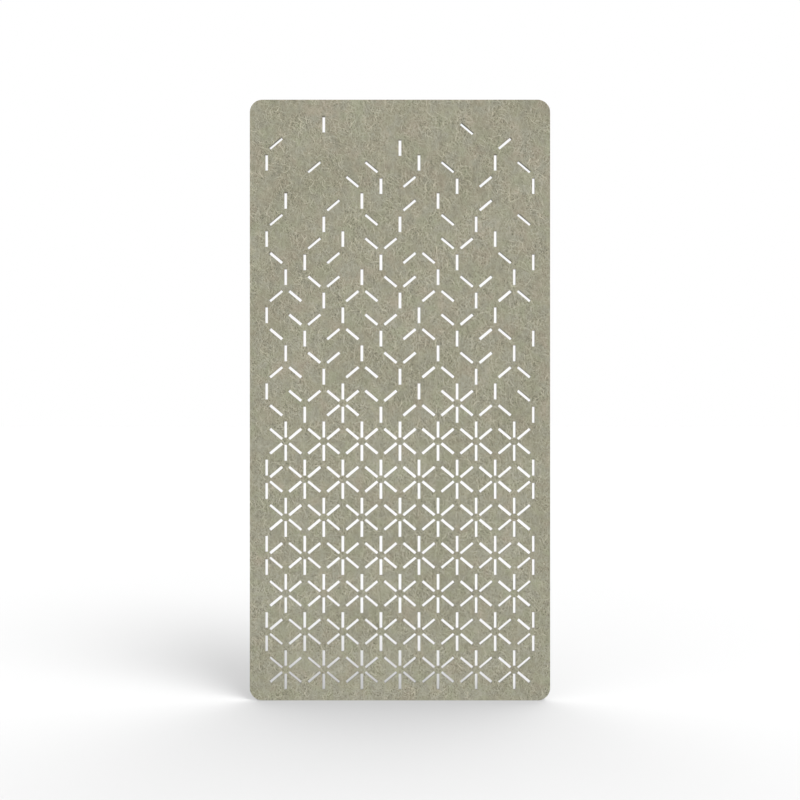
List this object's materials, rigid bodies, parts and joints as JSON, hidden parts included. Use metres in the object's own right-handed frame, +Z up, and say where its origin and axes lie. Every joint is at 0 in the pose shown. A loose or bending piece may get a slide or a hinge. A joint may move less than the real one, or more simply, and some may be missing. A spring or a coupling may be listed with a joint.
{
  "type": "hanging room divider panel",
  "caption": "Tall stiff felt room divider panel with rounded corners and a star lattice of slots that thins towards the top; it hangs from threaded inserts in its top edge.",
  "frame": {"origin": "middle of the top edge, halfway between the mouths of the two hang inserts", "axes": "+Z up along the board's height and out of the inserts' mouths, +X to the right seen from the front, front face towards -Y"},
  "size_m": [1.2, 0.012, 2.4],
  "materials": {
    "felt": "matt pressed felt, marled with lighter fibres and darker flecks",
    "insert_steel": "zinc-plated, satin"
  },
  "bodies": {
    "root": {"felt_board": "felt", "hang_insert_left": "insert_steel", "hang_insert_right": "insert_steel"}
  },
  "joints": []
}
